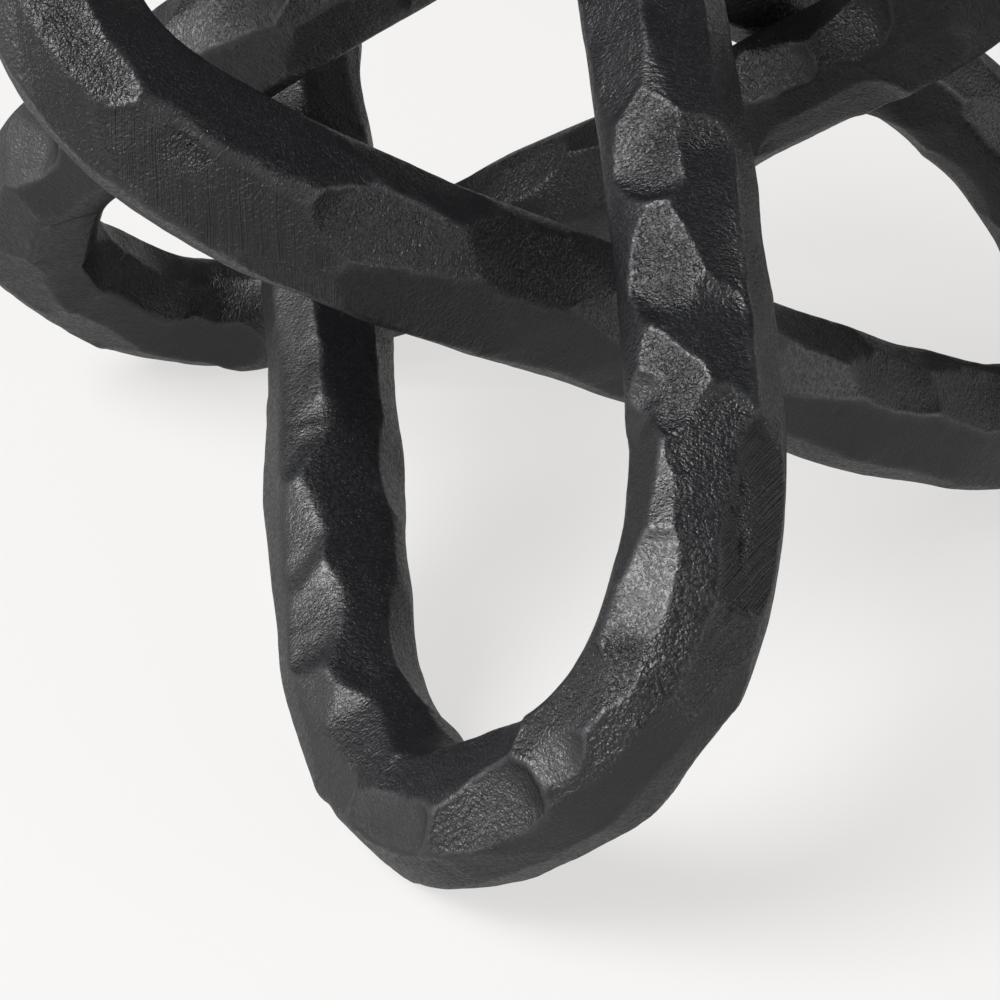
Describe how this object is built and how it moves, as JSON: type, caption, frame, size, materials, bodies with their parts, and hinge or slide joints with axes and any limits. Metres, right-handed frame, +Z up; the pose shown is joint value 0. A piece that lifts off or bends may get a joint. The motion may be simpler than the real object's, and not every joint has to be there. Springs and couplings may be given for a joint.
{
  "type": "metal link sculpture",
  "caption": "Tabletop ornament of long closed hammered links threaded through each other, leaning together and standing on their low ends.",
  "frame": {"origin": "on the floor, under the middle of the sculpture's outline", "axes": "+Z up; -Y is the front, where the front link touches down; +X is to the right seen from the front"},
  "size_m": [0.1936, 0.1938, 0.149],
  "materials": {
    "black_casting": "satin-matt black paint over a sand-cast, hammered and filed surface"
  },
  "bodies": {
    "right_link": {"right_link": "black_casting"},
    "front_link": {"front_link": "black_casting"},
    "left_link": {"left_link": "black_casting"}
  },
  "joints": [
    {"name": "front_slide", "type": "slide", "parent": "right_link", "child": "front_link", "axis": [-0.0996, 0.8878, 0.4493], "range_m": [0, 0.05]},
    {"name": "left_swivel", "type": "hinge", "parent": "right_link", "child": "left_link", "pos_m": [-0.0588, 0.0586, 0], "axis": [0, 0, -1], "range_deg": [0, 24]}
  ]
}
